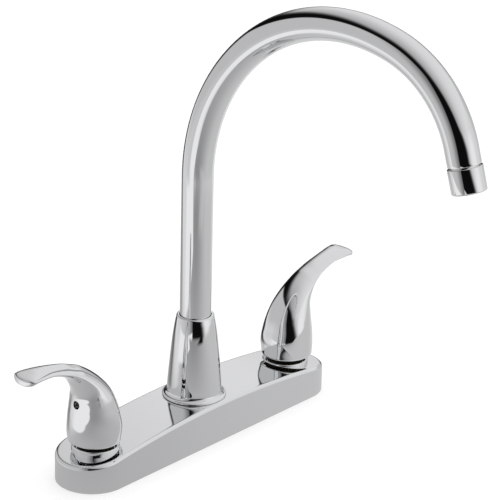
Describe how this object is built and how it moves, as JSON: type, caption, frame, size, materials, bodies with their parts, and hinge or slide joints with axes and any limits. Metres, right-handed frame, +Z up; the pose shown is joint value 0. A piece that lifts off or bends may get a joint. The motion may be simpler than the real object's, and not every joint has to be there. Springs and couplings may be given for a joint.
{
  "type": "two handle kitchen faucet",
  "caption": "Deck-mounted kitchen faucet with a swivelling gooseneck spout on a tapered hub, and a sweeping lever handle over each end of a crowned deck plate.",
  "frame": {"origin": "centre of the deck plate's underside, on the sink's surface, midway between the two shanks and on the spout's swivel axis", "axes": "+Z up along the spout's swivel axis, +X towards the cold (right-hand) handle, +Y towards the wall behind the sink; the spout points along -Y at rest"},
  "size_m": [0.3406, 0.2685, 0.3946],
  "materials": {
    "deck_chrome": "polished chrome plate",
    "handle_chrome": "polished chrome plate",
    "cone_chrome": "polished chrome plate",
    "tube_chrome": "polished chrome plate",
    "aerator_chrome": "polished chrome plate",
    "valve_brass": "as machined",
    "nut_brass": "as machined",
    "stem_brass": "turned",
    "tube_copper": "drawn copper",
    "seal_rubber": "moulded",
    "spring_steel": "drawn wire",
    "screw_steel": "black oxide",
    "guide_plastic": "moulded, natural white",
    "insert_plastic": "moulded, light grey",
    "screen_steel": "woven stainless mesh",
    "base_plastic": "moulded, dark grey",
    "nut_plastic": "moulded, black",
    "washer_steel": "zinc plated"
  },
  "bodies": {
    "faucet_base": {"deck_shell": "deck_chrome", "base_plate": "base_plastic", "hot_valve_body": "valve_brass", "cold_valve_body": "valve_brass", "hot_crossover_tube": "tube_copper", "cold_crossover_tube": "tube_copper", "center_hub": "valve_brass", "hot_seat": "seal_rubber", "cold_seat": "seal_rubber", "hot_seat_spring": "spring_steel", "cold_seat_spring": "spring_steel", "hot_bonnet_nut": "nut_brass", "cold_bonnet_nut": "nut_brass", "spout_cone": "cone_chrome", "cone_bushing": "guide_plastic", "spout_retainer": "guide_plastic", "thrust_washer": "guide_plastic", "hot_mounting_washer": "washer_steel", "cold_mounting_washer": "washer_steel", "hot_mounting_nut": "nut_plastic", "cold_mounting_nut": "nut_plastic"},
    "hot_lever": {"hot_handle": "handle_chrome", "hot_stem": "stem_brass", "hot_stem_oring": "seal_rubber", "hot_set_screw": "screw_steel"},
    "cold_lever": {"cold_handle": "handle_chrome", "cold_stem": "stem_brass", "cold_stem_oring": "seal_rubber", "cold_set_screw": "screw_steel"},
    "spout": {"spout_tube": "tube_chrome", "spout_end_bush": "valve_brass", "spout_orings": "seal_rubber", "outlet_bush": "valve_brass", "aerator_housing": "aerator_chrome", "aerator_insert": "insert_plastic", "aerator_screen": "screen_steel", "aerator_washer": "seal_rubber"}
  },
  "joints": [
    {"name": "spout_swivel", "type": "hinge", "parent": "faucet_base", "child": "spout", "pos_m": [0, 0, 0.034], "axis": [0, 0, 1], "continuous": true},
    {"name": "hot_turn", "type": "hinge", "parent": "faucet_base", "child": "hot_lever", "pos_m": [-0.1016, 0, 0.03], "axis": [0, 0, 1], "range_deg": [0, 90]},
    {"name": "cold_turn", "type": "hinge", "parent": "faucet_base", "child": "cold_lever", "pos_m": [0.1016, 0, 0.03], "axis": [0, 0, 1], "range_deg": [-90, 0]}
  ]
}
